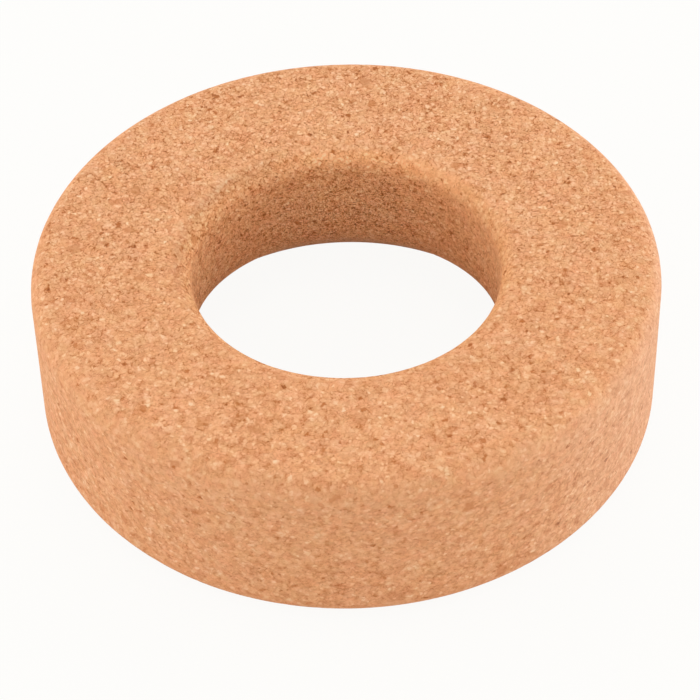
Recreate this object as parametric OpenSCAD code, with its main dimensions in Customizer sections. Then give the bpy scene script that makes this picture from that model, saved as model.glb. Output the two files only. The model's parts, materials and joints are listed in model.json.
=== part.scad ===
// Cork ring: a turned ring of pressed cork granules that a round-bottomed flask stands in.
// One solid of revolution. The hole is a straight throat that opens into a wide conical seat
// on the underside, so that the ring can be turned over for a larger flask.
// Millimetres, +Z up, origin at the middle of the face that it stands on.

/* [Ring] */
// Outside diameter
outer_d = 110; // [104:0.5:160]
// Height, from the foot face to the top face
height = 32; // [29:0.5:45]

/* [Hole] */
// Diameter of the straight throat, the narrowest part of the hole
throat_d = 54; // [40:0.5:62]
// Diameter at which the seat's cone would meet the foot face if its edge were sharp
seat_d = 76.4; // [68:0.2:84]
// Height above the foot face at which the cone would meet the throat if that edge were sharp
seat_depth = 11.76; // [9:0.02:16]

/* [Edge rounding] */
// Radius of the outer edge of the top face
top_outer_r = 3.5; // [1:0.1:6]
// Radius of the outer edge of the foot face
foot_outer_r = 4.5; // [1:0.1:6]
// Radius of the throat's mouth in the top face
top_inner_r = 4; // [1:0.1:6]
// Radius of the seat's mouth in the foot face
foot_inner_r = 4.06; // [1:0.01:6]
// Radius of the wide curve between the throat and the seat's cone
throat_edge_r = 11.6; // [2:0.1:13]

/* [Hidden] */
$fn = 180;

CORK = [0.90, 0.65, 0.46];

// Corners of the section, as [radius, height above the foot], anticlockwise from the seat's mouth
SECTION = [
    [seat_d / 2, 0],
    [outer_d / 2, 0],
    [outer_d / 2, height],
    [throat_d / 2, height],
    [throat_d / 2, seat_depth]
];
// The wide curve's circle stays inside the wall, however thin that is made
THROAT_EDGE_R = min(throat_edge_r, (outer_d - throat_d) / 4);
// Edge radius of each corner in SECTION
SECTION_R = [foot_inner_r, foot_outer_r, top_outer_r, top_inner_r, THROAT_EDGE_R];

function toward(from, to) = (to - from) / norm(to - from);

// Half of the angle at corner p between the sides to a and to b
function half_angle(a, p, b) = acos(toward(p, a) * toward(p, b)) / 2;

// Distance along each side from corner p to where an edge of radius r touches that side
function touch_length(a, p, b, r) = r / tan(half_angle(a, p, b));

// Centre of the edge of radius r at corner p
function edge_centre(a, p, b, r) =
    p + toward([0, 0], toward(p, a) + toward(p, b)) * r / sin(half_angle(a, p, b));

// The corner before and the corner after corner i of a closed outline
function before(points, i) = points[(i + len(points) - 1) % len(points)];
function after(points, i) = points[(i + 1) % len(points)];

// Convex outline with each corner turned into a true arc of its own radius
module rounded_outline(points, radii) {
    polygon([
        for (i = [0 : len(points) - 1])
            let (a = before(points, i), p = points[i], b = after(points, i),
                 reach = touch_length(a, p, b, radii[i]))
                each [p + toward(p, a) * reach, p + toward(p, b) * reach]
    ]);
    for (i = [0 : len(points) - 1])
        translate(edge_centre(before(points, i), points[i], after(points, i), radii[i]))
            circle(r = radii[i]);
}

module cork_ring() {
    color(CORK)
        rotate_extrude()
            rounded_outline(SECTION, SECTION_R);
}

cork_ring();
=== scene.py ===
"""Looks of the cork ring: one lathe-turned mesh with the relief of pressed cork, its material, a pale floor,
soft studio light and the camera. Metres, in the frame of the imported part: +Z up, the foot face at z = 0."""

import json
import math
import random
from types import SimpleNamespace

import bpy
from mathutils import Matrix, Vector, kdtree, noise


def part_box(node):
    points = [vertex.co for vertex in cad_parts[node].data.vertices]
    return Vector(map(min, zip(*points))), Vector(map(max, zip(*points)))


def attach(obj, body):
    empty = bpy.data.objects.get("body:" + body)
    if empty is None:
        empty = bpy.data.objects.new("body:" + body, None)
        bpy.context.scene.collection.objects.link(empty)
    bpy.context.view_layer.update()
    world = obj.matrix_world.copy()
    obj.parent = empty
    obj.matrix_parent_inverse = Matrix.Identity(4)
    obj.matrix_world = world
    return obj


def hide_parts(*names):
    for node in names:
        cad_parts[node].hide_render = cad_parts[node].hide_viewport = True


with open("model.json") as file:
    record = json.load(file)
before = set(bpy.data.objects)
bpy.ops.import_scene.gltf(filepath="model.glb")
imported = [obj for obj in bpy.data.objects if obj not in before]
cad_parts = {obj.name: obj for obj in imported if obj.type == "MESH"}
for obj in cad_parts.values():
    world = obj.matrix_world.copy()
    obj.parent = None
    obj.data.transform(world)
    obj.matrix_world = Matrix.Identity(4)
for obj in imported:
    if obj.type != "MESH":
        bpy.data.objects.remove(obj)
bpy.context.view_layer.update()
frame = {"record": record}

MM = 0.001

# ---------------------------------------------------------------- sizes, from the frame
ring_low, ring_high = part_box("cork_ring")
OUTER_R = -ring_low.x
HEIGHT = ring_high.z
bore = next(m for m in frame["record"]["mounts"] if m["name"] == "flask_hole")
THROAT_R = bore["dims"]["r_mm"] * MM

# The rest of the section, as in the part's source
SEAT_R = 38.2 * MM  # where the seat's cone would meet the foot face
SEAT_DEPTH = 11.76 * MM  # where the cone would meet the throat
CORNERS = [  # radius, height and edge radius, anticlockwise from the seat's mouth
    (SEAT_R, 0.0, 4.06 * MM),
    (OUTER_R, 0.0, 4.5 * MM),
    (OUTER_R, HEIGHT, 3.5 * MM),
    (THROAT_R, HEIGHT, 4.0 * MM),
    (THROAT_R, SEAT_DEPTH, 11.6 * MM),
]

# ---------------------------------------------------------------- mesh and relief
ROWS = 168  # along the section
SECTORS = 592  # around the ring
ARC_STEP = 0.05 * MM  # between the points that first draw the section's arcs
FOOT_SHARE = 0.5  # how closely the rows lie on the flat foot, against elsewhere
ON_FOOT = 0.01 * MM  # height below which a point counts as on the foot
EDGE_BEND = 0.12  # radians from the row before to the row after, where an edge is at its roundest

WAVE_LENGTH = 16.0  # mm, of the slow unevenness left by sanding
WAVE_DEPTH = 0.09 * MM
FLAT_FOOT = 2.0  # mm above the foot face, from where the unevenness is full
GRANULE = 2.4  # mm, size of a pressed granule
SEAM_DEPTH = 0.07 * MM  # of the grooves between granules
SEAM_WIDTH = 0.16  # of a granule
SEAM_RECESS_SHADE = 0.35  # how much painted shade a seam gets, against a pit
SEAM_EDGE_CALM = 0.6  # share by which the seams are shallower on the sanded edges
SEAM_WARP = 0.5  # mm, by which the seams are bent
SEAM_WARP_SCALE = 0.5  # per mm
GAP_SCALE = 0.35  # per mm, of the noise that leaves gaps in the seams
GAP_SHIFT = Vector((40, 0, 0))
GAPS = (-0.25, 0.35)  # of that noise: no seam, and a full seam
NOISE_SEED = 7  # for noise_vector, which differs from run to run unless it is seeded

PIT_SEED = 11
PIT_COUNT = 300
PIT_WIDTH = (0.45, 1.0)  # mm, half of a pit's longer side
PIT_DEPTH = (0.12, 0.42)  # mm
PIT_SLIM = (0.45, 0.9)  # its shorter side, as a share of the longer
PIT_BOWL = 1.5  # how round its bottom is
PIT_RAGGED = 0.35  # how far its outline wanders
PIT_RAGGED_SCALE = 1.7  # per mm
PIT_REACH = 1.3  # how far out its points are looked for, in its width
PIT_EDGE_SPARED = 0.8  # share of the pits that the sanded edges are spared

# ---------------------------------------------------------------- how the surface is worked, and where light and shade are painted on it
# A pair is a slope for smooth(): where the share starts and where it is full.
# x and y are shares of the outer radius, and z is a share of the height.
ON_WALL = (0.3, 0.95)  # of how far the surface faces outwards
IN_HOLE = (0.3, 0.75)  # of how far it faces inwards

TOP_CONTRAST = 0.93  # of the grain, across the middle of the top face
BACK_CONTRAST = 0.05  # added at the back edge, and taken off at the front edge
EDGE_CALM = 0.15  # share by which the grain is calmer on the sanded edges
WALL_CONTRAST = 0.75  # at the top of the outer wall, against the top face
WALL_FOOT_CONTRAST = 0.24  # added at its foot
HOLE_CONTRAST = 1.75  # in the hole, against the top face
DEEP_CONTRAST = 0.75  # added in the middle of the hole's depth
DEEP_FROM_TOP, DEEP_FROM_FOOT = (0.9, 0.4), (0.0, 0.3)  # of z
HOLE_RIGHT_CALM, HOLE_LEFT_CALM = 0.56, 0.26  # shares by which the hole's two sides are calmer
HOLE_SIDE = (0.1, 0.4)  # of x, to either side

FRONT_RUB = 0.85  # how far the fine grain is rubbed soft at the front of the top face
TO_FRONT = (-0.45, 0.8)  # of -y
LEAST_CRISP = 0.25  # where the fine grain is rubbed softest

# A painted sheen: the outer wall is painted paler towards +X, where light grazes it.
PAINTED_SHEEN = 0.27  # at the most
PAINTED_SHEEN_SIDE = (0.35, 1.0)  # of x
PAINTED_SHEEN_COST = 1.4  # contrast lost to each share of painted sheen, which the grain makes up for

IN_MOUTH = (0.80, 0.88)  # of z
# The mouth's rounding is painted paler at the back and darker on the left: painted highlight and painted
# shade for how light falls there.
HIGHLIGHT_AT, SHADE_AT = math.radians(75), math.radians(158)  # painted highlight and painted shade on the mouth's rounding, towards these sides
HIGHLIGHT_WIDTH, SHADE_WIDTH = (0.7, 0.98), (0.6, 0.97)  # of the cosine of the angle from there
HIGHLIGHT_FROM_TOP, HIGHLIGHT_FROM_HOLE = (0.25, 0.65), (1.05, 0.85)  # of how far the surface faces inwards
SHADE_FROM_TOP, SHADE_FROM_HOLE = (0.1, 0.35), (0.95, 0.6)
HIGHLIGHT_CALM = 0.4  # share by which the grain is calmer under the painted highlight


def rounded_outline(corners, step):
    """Points on the closed section, each corner turned into an arc of its own radius with points about
    step apart. The flat sides have none of their own."""
    points = []
    count = len(corners)
    for i, (x, y, radius) in enumerate(corners):
        here = Vector((x, y))
        back = (Vector(corners[i - 1][:2]) - here).normalized()
        on = (Vector(corners[(i + 1) % count][:2]) - here).normalized()
        half = back.angle(on) / 2
        start = here + back * radius / math.tan(half)
        centre = here + (back + on).normalized() * radius / math.sin(half)
        turn = math.pi - 2 * half
        parts = max(2, round(radius * turn / step))
        for k in range(parts + 1):
            arm = start - centre
            arm.rotate(Matrix.Rotation(turn * k / parts, 2))
            points.append(centre + arm)
    return points


def spread(points, count):
    """count points along the closed line through points, evenly but for the flat foot."""
    closed = points + points[:1]
    costs = []
    for a, b in zip(closed, closed[1:]):
        on_foot = a.y < ON_FOOT and b.y < ON_FOOT
        costs.append((b - a).length * (FOOT_SHARE if on_foot else 1.0))
    total = sum(costs)
    out = []
    i = 0
    passed = 0.0
    for k in range(count):
        at = total * k / count
        while passed + costs[i] < at:
            passed += costs[i]
            i += 1
        share = (at - passed) / costs[i]
        out.append(closed[i].lerp(closed[i + 1], share))
    return out


def outward(section):
    """The outward direction at each point of the section."""
    count = len(section)
    out = []
    for i in range(count):
        along = section[(i + 1) % count] - section[i - 1]
        out.append(Vector((along.y, -along.x)).normalized())
    return out


def smooth(value, start, full):
    """0 before start, 1 past full, and an even slope between. It falls with value if full is the lower."""
    share = min(1.0, max(0.0, (value - start) / (full - start)))
    return share * share * (3 - 2 * share)


def bend(normals):
    """How strongly the section turns at each point: 1 on the sanded edges, 0 on the flat sides."""
    count = len(normals)
    turns = [normals[i - 1].angle(normals[(i + 1) % count]) for i in range(count)]
    return [smooth(turn, 0.0, EDGE_BEND) for turn in turns]


def turned(section):
    """The section turned about the axis: for each mesh point its place in millimetres, its normal, and how
    strongly the section turns there."""
    section_normals = outward(section)
    places = []
    normals = []
    for sector in range(SECTORS):
        angle = 2 * math.pi * sector / SECTORS
        along_x, along_y = math.cos(angle), math.sin(angle)
        places += [Vector((p.x * along_x, p.x * along_y, p.y)) / MM for p in section]
        normals += [Vector((n.x * along_x, n.x * along_y, n.y)) for n in section_normals]
    return places, normals, bend(section_normals) * SECTORS


def seams(place):
    """0 inside a granule, up to 1 in the groove between two."""
    warp = noise.noise_vector(place * SEAM_WARP_SCALE) * SEAM_WARP
    near, far = noise.voronoi((place + warp) / GRANULE)[0][:2]
    line = 1 - smooth(far - near, 0.0, SEAM_WIDTH)
    return line * smooth(noise.noise(place * GAP_SCALE + GAP_SHIFT), *GAPS)


def dig_pits(places, normals, edges, depths, recess_shades):
    """Irregular pits where a granule has come out, seeded, mostly off the sanded edges."""
    tree = kdtree.KDTree(len(places))
    for i, place in enumerate(places):
        tree.insert(place, i)
    tree.balance()
    draw = random.Random(PIT_SEED)
    made = 0
    while made < PIT_COUNT:
        i = draw.randrange(len(places))
        share = (places[i].xy.length * MM) / OUTER_R
        width = draw.uniform(*PIT_WIDTH)
        depth = draw.uniform(*PIT_DEPTH)
        turn = draw.uniform(0, 2 * math.pi)
        slim = draw.uniform(*PIT_SLIM)
        if draw.random() > share or draw.random() < PIT_EDGE_SPARED * edges[i]:
            continue
        made += 1
        centre = places[i]
        side = normals[i].orthogonal().normalized()
        side.rotate(Matrix.Rotation(turn, 3, normals[i]))
        across = normals[i].cross(side)
        for place, k, _ in tree.find_range(centre, width * PIT_REACH):
            away = place - centre
            reach = math.hypot(away.dot(side), away.dot(across) / slim) / width
            reach *= 1 + PIT_RAGGED * noise.noise(place * PIT_RAGGED_SCALE)
            bowl = max(0.0, 1 - reach * reach) ** PIT_BOWL
            depths[k] = max(depths[k], depth * bowl * MM)
            # how much painted shade the pit puts here
            recess_shades[k] = max(recess_shades[k], bowl)


def relief(places, normals, edges):
    """How deep the surface is sunk at each place, in metres, and how much painted shade it gets there as a
    recess.
    """
    depths = []
    recess_shades = []
    for place, edge in zip(places, edges):
        off_foot = smooth(place.z, 0.0, FLAT_FOOT)
        wave = 0.5 + 0.5 * noise.noise(place / WAVE_LENGTH)
        seam = seams(place) * (1 - SEAM_EDGE_CALM * edge)
        depths.append(wave * WAVE_DEPTH * off_foot + seam * SEAM_DEPTH)
        recess_shades.append(SEAM_RECESS_SHADE * seam)
    dig_pits(places, normals, edges, depths, recess_shades)
    return depths, recess_shades


def finish(place, normal, edge):
    """How the surface is worked at a place, as the numbers that the material reads:
    contrast: how plainly the grain shows, most in the hole and least on the upper part of the outer wall;
    crisp: how sharp the fine grain is, which is rubbed softer on the outer wall and towards the front;
    painted_sheen: the share of a paler painted sheen, only on the outer wall and most towards +X;
    raw: 1 in the hole, which isn't sanded;
    painted_highlight and painted_shade: 1 on the parts of the hole's mouth painted paler, as a highlight, and
    darker, as shade, for how light falls there."""
    outwards = normal.xy.dot(place.xy.normalized())
    on_wall = smooth(outwards, *ON_WALL)
    raw = smooth(-outwards, *IN_HOLE)
    x, y, z = place.x * MM / OUTER_R, place.y * MM / OUTER_R, place.z * MM / HEIGHT

    # painted sheen, paler towards +X on the outer wall
    painted_sheen = PAINTED_SHEEN * on_wall * smooth(x, *PAINTED_SHEEN_SIDE)
    rubbed = max(FRONT_RUB * smooth(-y, *TO_FRONT), on_wall) * (1 - raw)
    wall = (WALL_CONTRAST + WALL_FOOT_CONTRAST * (1 - z)) / (1 - PAINTED_SHEEN_COST * painted_sheen)
    hole = HOLE_CONTRAST + DEEP_CONTRAST * smooth(z, *DEEP_FROM_TOP) * smooth(z, *DEEP_FROM_FOOT)
    hole *= 1 - HOLE_RIGHT_CALM * smooth(x, *HOLE_SIDE) - HOLE_LEFT_CALM * smooth(-x, *HOLE_SIDE)
    contrast = (TOP_CONTRAST + BACK_CONTRAST * y) * (1 - EDGE_CALM * edge)
    contrast *= (1 + (wall - 1) * on_wall) * (1 + (hole - 1) * raw)

    # Painted highlight on the back of the mouth's rounding, and painted shade on its left side.
    turn = math.atan2(place.y, place.x)
    in_mouth = smooth(z, *IN_MOUTH)
    painted_highlight = in_mouth * smooth(-outwards, *HIGHLIGHT_FROM_TOP) * smooth(-outwards, *HIGHLIGHT_FROM_HOLE)
    painted_highlight *= smooth(math.cos(turn - HIGHLIGHT_AT), *HIGHLIGHT_WIDTH)
    painted_shade = in_mouth * smooth(-outwards, *SHADE_FROM_TOP) * smooth(-outwards, *SHADE_FROM_HOLE)
    painted_shade *= smooth(math.cos(turn - SHADE_AT), *SHADE_WIDTH)
    return {
        "contrast": contrast * (1 - HIGHLIGHT_CALM * painted_highlight),
        "crisp": 1 - (1 - LEAST_CRISP) * rubbed,
        "painted_sheen": painted_sheen,
        "raw": raw,
        "painted_highlight": painted_highlight,
        "painted_shade": painted_shade,
    }


def lathe_faces():
    faces = []
    for sector in range(SECTORS):
        here = sector * ROWS
        on = (sector + 1) % SECTORS * ROWS
        for row in range(ROWS):
            next_row = (row + 1) % ROWS
            faces.append((here + row, on + row, on + next_row, here + next_row))
    return faces


def make_ring():
    noise.seed_set(NOISE_SEED)
    section = spread(rounded_outline(CORNERS, ARC_STEP), ROWS)
    places, normals, edges = turned(section)
    depths, recess_shades = relief(places, normals, edges)
    verts = [place * MM - normal * depth for place, normal, depth in zip(places, normals, depths)]
    mesh = bpy.data.meshes.new("pressed_cork_ring")
    mesh.from_pydata(verts, [], lathe_faces())
    mesh.polygons.foreach_set("use_smooth", [True] * len(mesh.polygons))

    finishes = [finish(place, normal, edge) for place, normal, edge in zip(places, normals, edges)]
    columns = {name: [one[name] for one in finishes] for name in finishes[0]}
    # painted shade in the pits and seams
    columns["recess_shade"] = recess_shades
    for name, values in columns.items():
        mesh.attributes.new(name, "FLOAT", "POINT").data.foreach_set("value", values)
    mesh.update()
    ring = bpy.data.objects.new("pressed_cork_ring", mesh)
    bpy.context.scene.collection.objects.link(ring)
    return ring


# ---------------------------------------------------------------- material
# Millimetres, and closer along the axis, because the granules are pressed flat that way
GRAIN_SPACE = (1 / MM, 1 / MM, 1.2 / MM)
CELL_BEND = 1.6  # mm, by which the cells are bent out of their straight-sided shapes

# Cells per millimetre
GRANULES, BITS, CRUMBS = 0.55, 1.15, 2.4
SPECKS, SPOTS = 0.85, 0.22

# Noises per millimetre
BEND_NOISE, CRACK_NOISE, BIT_CRACK_NOISE = 0.9, 1.1, 1.6
SLOW_NOISE, BLOTCH_NOISE, GRAIN_NOISE, FINE_NOISE = 0.09, 0.75, 2.6, 5.5
PATCH_NOISE, PLACE_NOISE, REGION_NOISE = 0.5, 0.6, 0.16

# Slopes for fit() and fall(). A PICK is of a random number, so it says which cells are of that kind.
# A RIM leaves out a cell's edge, and GAPS are of the noise that breaks cracks up into short ones.
CRACK_WIDTH, CRACK_GAPS = 0.09, (0.54, 0.60)
BIT_CRACK_WIDTH, BIT_CRACK_GAPS = 0.13, (0.52, 0.58)
BARK_PICK, BARK_RIM = (0.990, 0.992), (0.05, 0.08)
BARK_BIT_PICK, BARK_BIT_RIM = (0.004, 0.010), (0.05, 0.15)
CREAM_PICK, BROWN_PICK = (0.78, 0.86), (0.88, 0.95)
BIT_CORE = (0.32, 0.50)  # a CORE is of the distance from the middle
SPECK_PICK, SPECK_SIZE, SPECK_SOFT = (0.45, 0.75), (0.05, 0.28), 0.06
SPOT_PICK, SPOT_CORE = (0.4, 0.7), (0.05, 0.15)
SEAM_REACH, BIT_SEAM_REACH = 0.14, 0.22  # how far a seam's own tone reaches into the cell
GRAIN_RANGE = (0.3, 0.7)  # where most of the grain's values lie
BARK_BIT_CRISP = (0.3, 1.0)  # of the mesh's number crisp

# Cork, from the darkest flecks to the palest, as (place on the ramp, linear colour)
CORK_TONES = [
    (0.00, (0.230, 0.058, 0.012)),
    (0.25, (0.540, 0.172, 0.045)),
    (0.50, (0.880, 0.422, 0.202)),
    (0.64, (0.980, 0.585, 0.325)),
    (0.90, (0.990, 0.740, 0.480)),
]

# How far each part moves the tone along that ramp. A minus darkens.
GRANULE_TONE, BIT_TONE, CRUMB_TONE = 0.06, 0.13, 0.11
SLOW_TONE, BLOTCH_TONE, GRAIN_TONE, FINE_TONE = 0.07, 0.52, 0.34, 0.54
SEAM_TONE, BIT_SEAM_TONE = (-0.03, 0.01), (-0.06, 0.035)  # on the seam, and away from it
CRACK_TONE, BIT_CRACK_TONE = -0.18, -0.16
CREAM_TONE, BROWN_TONE = 0.12, -0.12
# The second of these is painted shade, darker in the pits and seams.
SPOT_TONE, RECESS_SHADE_TONE = -0.30, -0.12
SPECK_TONE = (-0.10, -0.21)  # where the grain is rubbed soft, and where it is crisp
BLOTCH_MIDDLE = 0.56  # above the noise's own middle, so that blotches darken more than they lighten
LEAST_SPECK_CONTRAST = 0.85

# Bark takes its own place on the ramp, by this share
BARK_TONE, BARK_SHARE = 0.30, 0.6
BARK_BIT_TONE, BARK_BIT_SHARE = 0.10, (0.5, 0.8)  # where rubbed soft, and where crisp

# Factors on the ramp's colour. The first four are the two ends of a slow change from granule to granule
# and from place to place, and the others are full where the number of that name is 1.
GREYER, MORE_ORANGE = (0.965, 1.02, 1.05, 1), (1.025, 0.98, 0.95, 1)
PINKER, GREENER = (1.015, 0.975, 1.05, 1), (0.985, 1.025, 0.95, 1)
RAW = (1.0, 1.0, 0.92, 1)
# The next two are a painted highlight and painted shade on the mouth's rounding.
PAINTED_HIGHLIGHT = (1.14, 1.14, 1.16, 1)
PAINTED_SHADE = (0.87, 0.86, 0.85, 1)

PAINTED_SHEEN_COLOUR = (0.93, 0.60, 0.42, 1)  # the paler colour of the painted sheen on the outer wall

# How much granules and places differ in those tints
GRANULE_TINT, PATCH_TINT = 0.55, 1.0
REGION_TINT, PLACE_TINT = 0.6, 1.1

# How far each part stands out in the bump, as a share of its depth. A minus is a hollow.
GRAIN_BUMP, FINE_BUMP, BIT_BUMP = 0.8, 0.35, 0.35
CRACK_BUMP, SPECK_BUMP, SPOT_BUMP = -0.5, -0.4, -0.6
BUMP_DEPTH, BUMP_STRENGTH = 0.12 * MM, 0.6

ROUGH_LEAST, ROUGH_MOST = 0.78, 0.92
SPECULAR = 0.3


class Tree:
    """Short calls for building a node tree. An input is a number, a colour or another node's output."""

    def __init__(self, tree):
        self.tree = tree

    def add(self, kind, inputs, **settings):
        node = self.tree.nodes.new("ShaderNode" + kind)
        for name, value in settings.items():
            setattr(node, name, value)
        for key, value in inputs.items():
            self.fill(node.inputs[key], value)
        return node

    def fill(self, socket, value):
        if isinstance(value, bpy.types.NodeSocket):
            self.tree.links.new(value, socket)
        else:
            socket.default_value = value

    def math(self, operation, a, b=0.0, clamp=False):
        return self.add("Math", {0: a, 1: b}, operation=operation, use_clamp=clamp).outputs[0]

    def total(self, first, *others):
        for other in others:
            first = self.math("ADD", first, other)
        return first

    def times(self, first, *others):
        for other in others:
            first = self.math("MULTIPLY", first, other)
        return first

    def around(self, value, size):
        """value, which lies about 0.5, as a tone of that size about 0."""
        return self.times(self.math("SUBTRACT", value, 0.5), size)

    def fit(self, value, low, high, to_low=0.0, to_high=1.0):
        """value, taken from low..high to to_low..to_high along a soft slope, and held outside."""
        inputs = {"Value": value, "From Min": low, "From Max": high, "To Min": to_low, "To Max": to_high}
        return self.add("MapRange", inputs, interpolation_type="SMOOTHSTEP").outputs[0]

    def fall(self, value, low, high):
        return self.fit(value, low, high, 1.0, 0.0)

    def vector(self, operation, a, b):
        return self.add("VectorMath", {0: a, 1: b}, operation=operation).outputs[0]

    def noise(self, where, scale, detail=2.0, rough=0.5, kind="Fac", shift=None):
        """A noise. A shift keeps it apart from the others that use the same space."""
        place = self.vector("ADD", where, shift) if shift else where
        inputs = {"Vector": place, "Scale": scale, "Detail": detail, "Roughness": rough}
        return self.add("TexNoise", inputs).outputs[kind]

    def cells(self, where, scale, shift=None):
        """For each cell three random numbers, and the distance from its middle."""
        place = self.vector("ADD", where, shift) if shift else where
        node = self.add("TexVoronoi", {"Vector": place, "Scale": scale})
        return self.add("SeparateColor", {0: node.outputs["Color"]}).outputs, node.outputs["Distance"]

    def cell_edges(self, where, scale):
        """The distance from the nearest cell edge."""
        inputs = {"Vector": where, "Scale": scale}
        return self.add("TexVoronoi", inputs, feature="DISTANCE_TO_EDGE").outputs["Distance"]

    def stored(self, name):
        """The mesh's number of that name."""
        return self.add("Attribute", {}, attribute_name=name).outputs["Fac"]

    def mix(self, share, a, b):
        return self.add("Mix", {"Factor": share, "A": a, "B": b}).outputs[0]

    def mix_colours(self, share, a, b, how="MIX"):
        inputs = {"Factor": share, 6: a, 7: b}
        return self.add("Mix", inputs, data_type="RGBA", blend_type=how).outputs[2]

    def ramp(self, value, tones):
        node = self.add("ValToRGB", {0: value})
        stops = node.color_ramp.elements
        while len(stops) < len(tones):
            stops.new(0.5)
        for stop, (place, colour) in zip(stops, tones):
            stop.position = place
            stop.color = (*colour, 1)
        return node.outputs[0]

    def looked_at(self):
        """1 for rays from the camera, also by way of a gloss or glass, and 0 for rays that gather light."""
        rays = self.add("LightPath", {}).outputs
        by_gloss = self.math("MAXIMUM", rays["Is Glossy Ray"], rays["Is Transmission Ray"])
        return self.math("MAXIMUM", rays["Is Camera Ray"], by_gloss)


def bent(t, where):
    """The same space pushed about by a noise, in which cells lose their straight sides."""
    push = t.noise(where, BEND_NOISE, 3.0, 0.6, kind="Color")
    push = t.vector("SUBTRACT", push, (0.5, 0.5, 0.5))
    push = t.add("VectorMath", {0: push, "Scale": CELL_BEND}, operation="SCALE").outputs[0]
    return t.vector("ADD", where, push)


def granules(t, where, warped, c):
    """Granules, with a tone for each and short dark seams between them. A few are bark."""
    c.granule, _ = t.cells(warped, GRANULES)
    c.seam = t.cell_edges(warped, GRANULES)
    broken = t.noise(where, CRACK_NOISE, shift=(31, 7, 3))
    c.crack = t.times(t.fall(c.seam, 0.0, CRACK_WIDTH), t.fit(broken, *CRACK_GAPS))
    c.bark = t.times(t.fit(c.granule[2], *BARK_PICK), t.fit(c.seam, *BARK_RIM))


def bits(t, where, warped, c):
    """Smaller bits inside the granules: each has its tone, and a few are cream, brown or bark."""
    c.bit, from_middle = t.cells(warped, BITS)
    core = t.fall(from_middle, *BIT_CORE)
    c.cream = t.times(t.fit(c.bit[0], *CREAM_PICK), core)
    c.brown = t.times(t.fit(c.bit[1], *BROWN_PICK), core)
    c.bit_seam = t.cell_edges(warped, BITS)
    broken = t.noise(where, BIT_CRACK_NOISE, shift=(3, 17, 29))
    c.bit_crack = t.times(t.fall(c.bit_seam, 0.0, BIT_CRACK_WIDTH), t.fit(broken, *BIT_CRACK_GAPS))
    c.bark_bit = t.times(t.fall(c.bit[0], *BARK_BIT_PICK), t.fit(c.bit_seam, *BARK_BIT_RIM))
    c.crumb, _ = t.cells(warped, CRUMBS)


def dark_marks(t, warped, c):
    """Dark specks of several sizes, and dark round spots far apart."""
    speck, from_middle = t.cells(warped, SPECKS, shift=(13, 4, 8))
    past_rim = t.math("SUBTRACT", from_middle, t.fit(speck[1], 0.0, 1.0, *SPECK_SIZE))
    c.speck = t.times(t.fall(past_rim, -SPECK_SOFT, SPECK_SOFT), t.fit(speck[0], *SPECK_PICK))
    spot, from_spot = t.cells(warped, SPOTS, shift=(5, 9, 2))
    c.spot = t.times(t.fall(from_spot, *SPOT_CORE), t.fit(spot[0], *SPOT_PICK))


def grains(t, where, c):
    """Noises from coarse to fine."""
    c.slow = t.noise(where, SLOW_NOISE, shift=(12, 0, 70))
    c.blotch = t.noise(where, BLOTCH_NOISE, shift=(8, 23, 5))
    c.grain = t.noise(where, GRAIN_NOISE, 3.0, 0.7)
    c.fine = t.noise(where, FINE_NOISE, 2.0, 0.6)


def cork_tone(t, c):
    """The place on the ramp, from all the parts of the cork and the way its surface is worked."""
    contrast = t.stored("contrast")
    half_soft = t.math("SQRT", c.crisp)  # softened less than the fine grain
    rubbed = t.math("SUBTRACT", 1.0, c.crisp)
    coarse = t.total(
        t.around(c.granule[0], GRANULE_TONE),
        t.around(c.bit[2], BIT_TONE),
        t.around(c.slow, SLOW_TONE),
        t.times(t.math("SUBTRACT", c.blotch, BLOTCH_MIDDLE), t.times(rubbed, BLOTCH_TONE)),
        t.fit(c.seam, 0.0, SEAM_REACH, *SEAM_TONE),
        t.times(t.fit(c.bit_seam, 0.0, BIT_SEAM_REACH, *BIT_SEAM_TONE), half_soft),
        t.times(c.cream, CREAM_TONE),
        t.times(c.crack, half_soft, CRACK_TONE),
        t.times(c.bit_crack, half_soft, BIT_CRACK_TONE),
        t.times(c.spot, SPOT_TONE),
        # painted shade in the pits and seams
        t.times(t.stored("recess_shade"), RECESS_SHADE_TONE),
    )
    fine = t.total(
        t.times(t.around(c.crumb[0], CRUMB_TONE), c.crisp),
        t.times(t.around(c.grain, GRAIN_TONE), half_soft),
        t.times(t.around(c.fine, FINE_TONE), c.crisp, contrast),
        t.times(c.brown, BROWN_TONE),
    )
    speck_contrast = t.math("MAXIMUM", contrast, LEAST_SPECK_CONTRAST)
    tone = t.total(
        t.times(coarse, t.math("MINIMUM", contrast, 1.0)),
        t.times(fine, contrast),
        t.times(c.speck, speck_contrast, t.fit(c.crisp, 0.0, 1.0, *SPECK_TONE)),
    )
    tone = t.math("ADD", tone, 0.5, clamp=True)
    tone = t.mix(t.times(c.bark, BARK_SHARE), tone, BARK_TONE)
    bark_bit_share = t.fit(c.crisp, *BARK_BIT_CRISP, *BARK_BIT_SHARE)
    return t.mix(t.times(c.bark_bit, bark_bit_share), tone, BARK_BIT_TONE)


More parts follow.
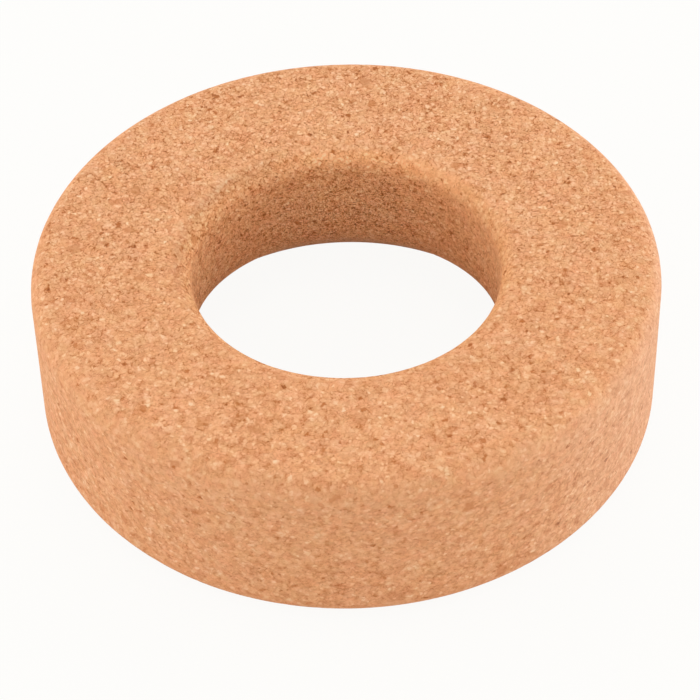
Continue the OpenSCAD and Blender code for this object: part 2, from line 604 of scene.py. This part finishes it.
def tinted(t, where, c, colour):
    """Some granules are greyer and some more orange, and some places are pinker and some greener. The hole
    has its own factor, its mouth a painted highlight and painted shade, and the outer wall a paler painted
    sheen."""
    patch = t.noise(where, PATCH_NOISE, shift=(2, 6, 41))
    place = t.noise(where, PLACE_NOISE, shift=(27, 1, 9))
    region = t.noise(where, REGION_NOISE)
    more_orange = t.total(t.around(c.granule[1], GRANULE_TINT), t.around(patch, PATCH_TINT))
    greener = t.total(t.around(region, REGION_TINT), t.around(place, PLACE_TINT))
    for amount, without, with_it in ((more_orange, GREYER, MORE_ORANGE), (greener, PINKER, GREENER)):
        tint = t.mix_colours(t.math("ADD", amount, 0.5, clamp=True), without, with_it)
        colour = t.mix_colours(1.0, colour, tint, "MULTIPLY")
    # The hole's own factor, then the painted highlight and painted shade on its mouth.
    for name, factor in (("raw", RAW), ("painted_highlight", PAINTED_HIGHLIGHT), ("painted_shade", PAINTED_SHADE)):
        colour = t.mix_colours(t.stored(name), colour, factor, "MULTIPLY")
    # the painted sheen on the outer wall
    return t.mix_colours(t.stored("painted_sheen"), colour, PAINTED_SHEEN_COLOUR)


def cork_bump(t, c):
    height = t.total(
        t.times(t.around(c.grain, GRAIN_BUMP), c.crisp),
        t.around(c.bit[2], BIT_BUMP),
        t.times(t.around(c.fine, FINE_BUMP), c.crisp),
        t.times(c.crack, c.crisp, CRACK_BUMP),
        t.times(c.bit_crack, c.crisp, CRACK_BUMP),
        t.times(c.speck, SPECK_BUMP),
        t.times(c.spot, SPOT_BUMP),
    )
    inputs = {"Height": height, "Strength": BUMP_STRENGTH, "Distance": BUMP_DEPTH}
    return t.add("Bump", inputs).outputs[0]


def cork_material():
    material = bpy.data.materials.new("pressed_cork")
    material.use_nodes = True
    t = Tree(material.node_tree)
    shader = material.node_tree.nodes["Principled BSDF"].inputs

    where = t.vector("MULTIPLY", t.add("TexCoord", {}).outputs["Object"], GRAIN_SPACE)
    warped = bent(t, where)
    cork = SimpleNamespace(crisp=t.stored("crisp"))
    granules(t, where, warped, cork)
    bits(t, where, warped, cork)
    dark_marks(t, warped, cork)
    grains(t, where, cork)

    colour = t.ramp(cork_tone(t, cork), CORK_TONES)
    t.fill(shader["Base Color"], tinted(t, where, cork, colour))
    t.fill(shader["Roughness"], t.fit(cork.grain, *GRAIN_RANGE, ROUGH_MOST, ROUGH_LEAST))
    t.fill(shader["Specular IOR Level"], SPECULAR)
    t.fill(shader["Normal"], cork_bump(t, cork))
    return material


# ---------------------------------------------------------------- studio
VIEW_ELEVATION = math.radians(44.98)
VIEW_ROLL = math.radians(1.23)  # the right-hand side hangs a little higher in the picture
VIEW_DISTANCE = 0.5087
VIEW_AIM = Vector((0.0004, -0.0068, HEIGHT / 2))
VIEW_LENS = 148.5
PAPER = (0.99, 0.984, 0.967, 1)  # the background, as the camera sees it
FLOOR_COLOUR = (0.83, 0.83, 0.83, 1)  # the floor, as the ring sees it
FLOOR_GLOW = 0.95  # share of the floor, as the camera sees it, that no shadow darkens
FLOOR_REACH = 3.0  # from the middle to each side
SKY = 0.725  # light from all round
LAMP_SIZE = 0.6
LAMPS = [  # name, place and power
    ("back_top", (0.0, 0.8, 0.8), 1.4),
    ("top", (0.0, 0.0, 1.1), 1.0),
    ("right_side", (1.0, 0.25, 0.16), 3.85),
    ("left_side", (-1.0, 0.18, 0.16), 3.2),
    ("front", (0.0, -1.0, 0.25), 0.75),
]


def make_camera():
    data = bpy.data.cameras.new("camera")
    data.lens = VIEW_LENS
    data.sensor_width = 36.0
    camera = bpy.data.objects.new("camera", data)
    bpy.context.scene.collection.objects.link(camera)
    ahead = Vector((0, math.cos(VIEW_ELEVATION), -math.sin(VIEW_ELEVATION)))
    right = Vector((1, 0, 0))
    up = right.cross(ahead)
    cos_roll, sin_roll = math.cos(VIEW_ROLL), math.sin(VIEW_ROLL)
    turned_right = cos_roll * right - sin_roll * up
    turned_up = sin_roll * right + cos_roll * up
    place = Matrix((turned_right, turned_up, -ahead)).transposed().to_4x4()
    place.translation = VIEW_AIM - ahead * VIEW_DISTANCE
    camera.matrix_world = place
    bpy.context.scene.camera = camera


def floor_material():
    """The ring sees a plain matt floor, and the camera sees paper on which only faint shadows fall."""
    material = bpy.data.materials.new("floor")
    material.use_nodes = True
    t = Tree(material.node_tree)
    t.tree.nodes.clear()
    matt = t.add("BsdfDiffuse", {"Color": FLOOR_COLOUR})
    paper = t.add("BsdfDiffuse", {"Color": PAPER})
    glow = t.add("Emission", {"Color": PAPER})
    seen = t.add("MixShader", {0: FLOOR_GLOW, 1: paper.outputs[0], 2: glow.outputs[0]})
    mix = t.add("MixShader", {0: t.looked_at(), 1: matt.outputs[0], 2: seen.outputs[0]})
    t.add("OutputMaterial", {0: mix.outputs[0]})
    return material


def make_floor():
    corners = [(-FLOOR_REACH, -FLOOR_REACH, 0), (FLOOR_REACH, -FLOOR_REACH, 0)]
    corners += [(FLOOR_REACH, FLOOR_REACH, 0), (-FLOOR_REACH, FLOOR_REACH, 0)]
    mesh = bpy.data.meshes.new("floor")
    mesh.from_pydata(corners, [], [(0, 1, 2, 3)])
    mesh.materials.append(floor_material())
    floor = bpy.data.objects.new("floor", mesh)
    bpy.context.scene.collection.objects.link(floor)


def make_world():
    world = bpy.data.worlds.new("world")
    world.use_nodes = True
    bpy.context.scene.world = world
    t = Tree(world.node_tree)
    t.tree.nodes.clear()
    light = t.add("Background", {"Color": (1, 1, 1, 1), "Strength": SKY})
    seen = t.add("Background", {"Color": PAPER, "Strength": 1.0})
    mix = t.add("MixShader", {0: t.looked_at(), 1: light.outputs[0], 2: seen.outputs[0]})
    t.add("OutputWorld", {0: mix.outputs[0]})


def softbox(name, place, power):
    """A round area lamp that faces the middle of the ring."""
    data = bpy.data.lights.new(name, "AREA")
    data.shape = "DISK"
    data.size = LAMP_SIZE
    data.energy = power
    lamp = bpy.data.objects.new(name, data)
    lamp.location = place
    lamp.rotation_mode = "QUATERNION"
    lamp.rotation_quaternion = (Vector((0, 0, HEIGHT / 2)) - Vector(place)).to_track_quat("-Z", "Y")
    bpy.context.scene.collection.objects.link(lamp)


ring = make_ring()
ring.data.materials.append(cork_material())
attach(ring, "root")
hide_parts("cork_ring")

make_camera()
make_floor()
make_world()
for lamp in LAMPS:
    softbox(*lamp)
bpy.context.scene.view_settings.view_transform = "Standard"
